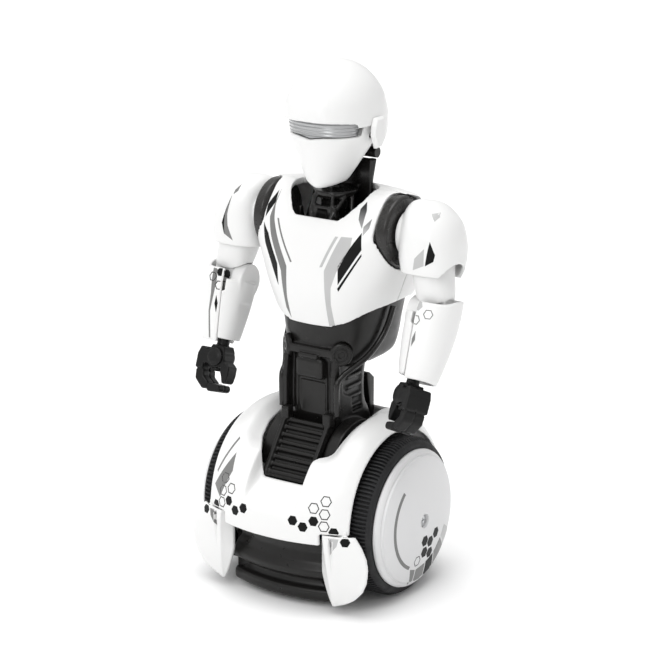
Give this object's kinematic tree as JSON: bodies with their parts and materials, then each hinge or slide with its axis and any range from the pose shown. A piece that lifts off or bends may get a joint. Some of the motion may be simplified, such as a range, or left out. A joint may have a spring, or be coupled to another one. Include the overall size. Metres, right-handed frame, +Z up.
{
  "type": "toy robot",
  "caption": "Toy robot with a human-like upper body, jointed arms, gripping hands and a turning head, on a rounded base with a large wheel at each side.",
  "frame": {"origin": "on the floor, midway between the two wheels and under their shared axle line", "axes": "+Z up, the robot faces -Y, +X is its own left side"},
  "size_m": [0.1656, 0.1183, 0.297],
  "materials": {
    "white_shell": "satin gloss",
    "black_frame": "satin",
    "tyre": "matte",
    "steel": "plated",
    "grey_plastic": "matte",
    "board": "solder mask",
    "visor": "metallised",
    "cell": "wrapped"
  },
  "bodies": {
    "base": {"front_shell": "white_shell", "rear_shell": "white_shell", "skirt_left": "white_shell", "skirt_right": "white_shell", "chest_shell": "white_shell", "back_shell": "white_shell", "chassis_tray": "black_frame", "battery_door": "black_frame", "speaker": "black_frame", "front_bumper": "black_frame", "rear_bumper": "black_frame", "ribbed_apron": "black_frame", "waist_frame": "black_frame", "spine_box": "black_frame", "pivot_cap_left": "black_frame", "pivot_cap_right": "black_frame", "waist_rod_left": "black_frame", "waist_rod_right": "black_frame", "shoulder_socket_left": "black_frame", "shoulder_socket_right": "black_frame", "neck_frame": "black_frame", "drive_gearbox_left": "grey_plastic", "drive_gearbox_right": "grey_plastic", "battery_door_screw": "steel", "arm_gearbox": "grey_plastic", "circuit_board": "board", "battery_cell_1": "cell", "battery_cell_2": "cell", "battery_cell_3": "cell"},
    "front_roller": {"front_roller": "black_frame"},
    "rear_roller": {"rear_roller": "black_frame"},
    "power_switch": {"power_switch": "white_shell"},
    "head": {"helmet_shell": "white_shell", "face_mask": "white_shell", "visor": "visor", "ear_cap_left": "white_shell", "ear_cap_right": "white_shell", "head_core": "black_frame"},
    "wheel_left": {"wheel_axle_left": "steel", "wheel_hub_left": "white_shell", "tyre_left": "tyre", "hubcap_left": "white_shell", "hubcap_screw_left": "steel"},
    "wheel_right": {"wheel_axle_right": "steel", "wheel_hub_right": "white_shell", "tyre_right": "tyre", "hubcap_right": "white_shell", "hubcap_screw_right": "steel"},
    "upper_arm_left": {"shoulder_cap_left": "white_shell", "upper_arm_left": "white_shell"},
    "forearm_left": {"forearm_core_left": "white_shell", "forearm_guard_left": "white_shell"},
    "hand_left": {"palm_left": "black_frame"},
    "fingers_left": {"fingers_left": "black_frame"},
    "upper_arm_right": {"shoulder_cap_right": "white_shell", "upper_arm_right": "white_shell"},
    "forearm_right": {"forearm_core_right": "white_shell", "forearm_guard_right": "white_shell"},
    "hand_right": {"palm_right": "black_frame"},
    "fingers_right": {"fingers_right": "black_frame"}
  },
  "joints": [
    {"name": "wheel_spin_left", "type": "hinge", "parent": "base", "child": "wheel_left", "pos_m": [0.047, 0, 0.045], "axis": [1, 0, 0], "continuous": true},
    {"name": "wheel_spin_right", "type": "hinge", "parent": "base", "child": "wheel_right", "pos_m": [-0.047, 0, 0.045], "axis": [1, 0, 0], "continuous": true},
    {"name": "front_roller_spin", "type": "hinge", "parent": "base", "child": "front_roller", "pos_m": [0, -0.032, 0.0044], "axis": [1, 0, 0], "continuous": true},
    {"name": "rear_roller_spin", "type": "hinge", "parent": "base", "child": "rear_roller", "pos_m": [0, 0.047, 0.005], "axis": [1, 0, 0], "continuous": true},
    {"name": "power_switch_slide", "type": "slide", "parent": "base", "child": "power_switch", "axis": [1, 0, 0], "range_m": [0, 0.004]},
    {"name": "head_turn", "type": "hinge", "parent": "base", "child": "head", "pos_m": [0, 0.009, 0.232], "axis": [0, 0, 1], "range_deg": [-60, 60]},
    {"name": "shoulder_left", "type": "hinge", "parent": "base", "child": "upper_arm_left", "pos_m": [0.066, 0.011, 0.2052], "axis": [-1, 0, 0], "range_deg": [-40, 100]},
    {"name": "elbow_left", "type": "hinge", "parent": "upper_arm_left", "child": "forearm_left", "pos_m": [0.066, 0.00218, 0.16373], "axis": [-1, 0, 0], "range_deg": [-8, 10]},
    {"name": "wrist_left", "type": "hinge", "parent": "forearm_left", "child": "hand_left", "pos_m": [0.066, -0.0148, 0.1304], "axis": [0, -0.454, -0.891], "range_deg": [-90, 60]},
    {"name": "fingers_left", "type": "hinge", "parent": "hand_left", "child": "fingers_left", "pos_m": [0.066, -0.01865, 0.12283], "axis": [-0.5, -0.7716, 0.3932], "range_deg": [0, 18]},
    {"name": "shoulder_right", "type": "hinge", "parent": "base", "child": "upper_arm_right", "pos_m": [-0.066, 0.011, 0.2052], "axis": [-1, 0, 0], "range_deg": [-40, 100]},
    {"name": "elbow_right", "type": "hinge", "parent": "upper_arm_right", "child": "forearm_right", "pos_m": [-0.066, 0.0051, 0.16321], "axis": [-1, 0, 0], "range_deg": [-8, 13]},
    {"name": "wrist_right", "type": "hinge", "parent": "forearm_right", "child": "hand_right", "pos_m": [-0.066, -0.00769, 0.12807], "axis": [0, -0.342, -0.9397], "range_deg": [-90, 90]},
    {"name": "fingers_right", "type": "hinge", "parent": "hand_right", "child": "fingers_right", "pos_m": [-0.066, -0.0106, 0.12008], "axis": [0, 0.9397, -0.342], "range_deg": [0, 18]}
  ]
}
